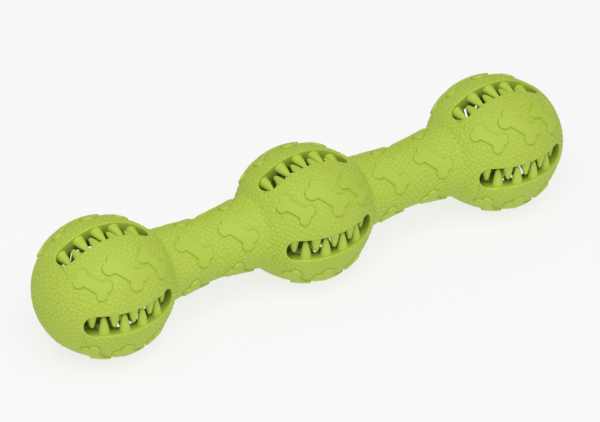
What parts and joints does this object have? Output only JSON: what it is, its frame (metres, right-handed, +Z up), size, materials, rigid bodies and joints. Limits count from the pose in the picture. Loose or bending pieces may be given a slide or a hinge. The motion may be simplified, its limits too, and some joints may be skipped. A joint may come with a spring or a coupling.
{
  "type": "dumbbell dog toy",
  "caption": "Lime-green rubber chew toy: hollow slitted balls with interleaved teeth, joined in a row by waisted necks and covered in raised bones.",
  "frame": {"origin": "on the floor, under the middle of the toy", "axes": "+X along the row of balls from left to right, +Y to the back, +Z up"},
  "size_m": [0.2624, 0.0562, 0.0562],
  "materials": {
    "shell_rubber": "matte moulded natural rubber with a fine pebbled grain",
    "neck_rubber": "matte moulded natural rubber with a fine pebbled grain",
    "tooth_rubber": "smooth matte moulded natural rubber"
  },
  "bodies": {
    "middle": {"middle_ball_shell": "shell_rubber", "left_neck": "neck_rubber", "right_neck": "neck_rubber", "middle_top_comb_five": "tooth_rubber", "middle_top_comb_four": "tooth_rubber", "middle_front_comb_five": "tooth_rubber", "middle_front_comb_four": "tooth_rubber", "middle_bottom_comb_five": "tooth_rubber", "middle_bottom_comb_four": "tooth_rubber", "middle_back_comb_five": "tooth_rubber", "middle_back_comb_four": "tooth_rubber"},
    "left_end": {"left_ball_shell": "shell_rubber", "left_top_comb_five": "tooth_rubber", "left_top_comb_four": "tooth_rubber", "left_front_comb_five": "tooth_rubber", "left_front_comb_four": "tooth_rubber", "left_bottom_comb_five": "tooth_rubber", "left_bottom_comb_four": "tooth_rubber", "left_back_comb_five": "tooth_rubber", "left_back_comb_four": "tooth_rubber"},
    "right_end": {"right_ball_shell": "shell_rubber", "right_top_comb_five": "tooth_rubber", "right_top_comb_four": "tooth_rubber", "right_front_comb_five": "tooth_rubber", "right_front_comb_four": "tooth_rubber", "right_bottom_comb_five": "tooth_rubber", "right_bottom_comb_four": "tooth_rubber", "right_back_comb_five": "tooth_rubber", "right_back_comb_four": "tooth_rubber"}
  },
  "joints": [
    {"name": "left_neck_bend", "type": "hinge", "parent": "middle", "child": "left_end", "pos_m": [-0.0501, 0, 0.02808], "axis": [0, 0, 1], "range_deg": [-30, 30], "stiffness_Nm_per_rad": 1.7, "deforming": ["left_neck"]},
    {"name": "right_neck_bend", "type": "hinge", "parent": "middle", "child": "right_end", "pos_m": [0.0501, 0, 0.02808], "axis": [0, 0, 1], "range_deg": [-30, 30], "stiffness_Nm_per_rad": 1.7, "deforming": ["right_neck"]}
  ]
}
